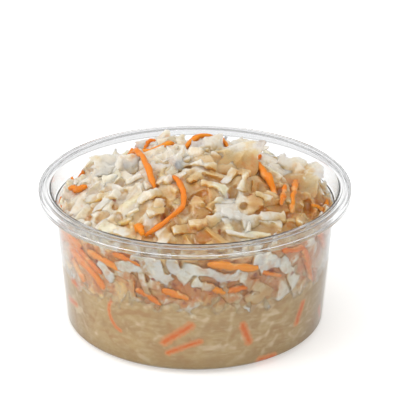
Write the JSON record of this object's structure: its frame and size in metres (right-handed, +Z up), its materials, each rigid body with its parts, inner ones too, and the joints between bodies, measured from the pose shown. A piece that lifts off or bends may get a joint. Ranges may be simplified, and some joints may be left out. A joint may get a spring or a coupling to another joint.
{
  "type": "coleslaw in a clear deli tub",
  "caption": "Heap of chopped cabbage and carrot shreds in creamy dressing, filling a round clear plastic tub with a rolled rim and standing in a mound above it.",
  "frame": {"origin": "middle of the plane that the tub stands on, under its centre", "axes": "+Z up out of the tub, -Y towards the front"},
  "size_m": [0.117, 0.117, 0.069],
  "materials": {
    "clear_plastic": "clear glossy thermoformed plastic sheet",
    "dressed_cabbage": "wet chopped white cabbage in creamy dressing",
    "carrot": "wet grated carrot",
    "dressing": "creamy salad dressing pressed against the tub"
  },
  "bodies": {
    "root": {"tub": "clear_plastic", "coleslaw": "dressed_cabbage"}
  },
  "joints": []
}
